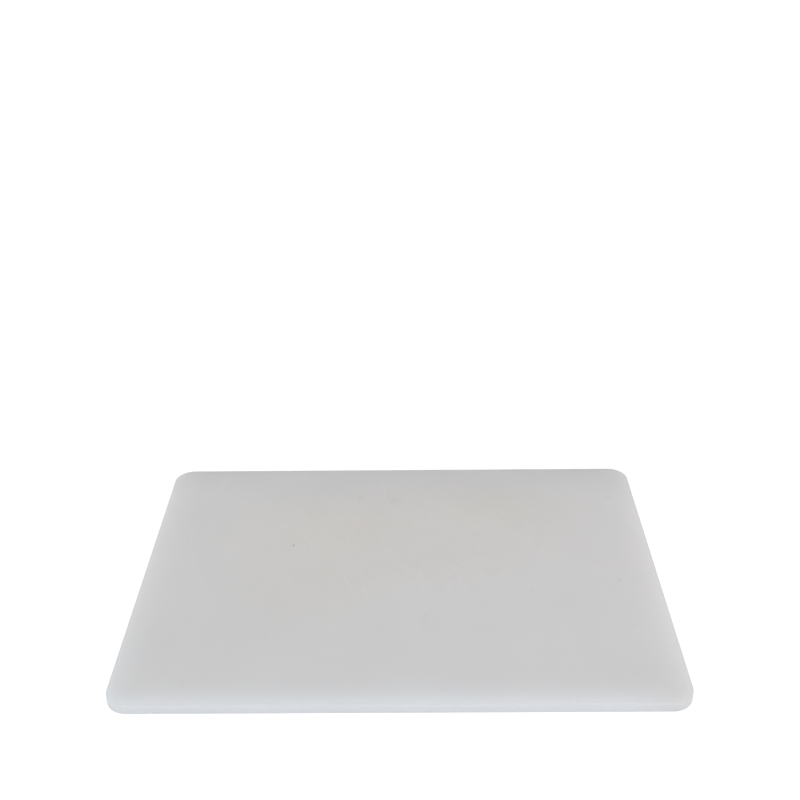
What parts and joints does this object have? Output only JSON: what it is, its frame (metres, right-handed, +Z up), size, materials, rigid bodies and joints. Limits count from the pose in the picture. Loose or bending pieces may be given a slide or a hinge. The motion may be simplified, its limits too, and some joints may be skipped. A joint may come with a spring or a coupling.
{
  "type": "cutting board",
  "caption": "Flat rectangular white plastic cutting board with rounded plan corners, softly eased edges and two plain knife-scored working faces; a solid slab with no groove, handle or feet.",
  "frame": {"origin": "centre of the bottom face, on the surface that the board lies on", "axes": "+X along the 24 in length, +Y across the 18 in width and away from the person cutting, +Z up through the thickness to the working face"},
  "size_m": [0.6096, 0.4572, 0.0127],
  "materials": {
    "polyethylene": "natural white high-density polyethylene, fine matte grain, faintly translucent at the edges, scored by knives and faintly stained on the working faces"
  },
  "bodies": {
    "root": {"cutting_board": "polyethylene"}
  },
  "joints": []
}
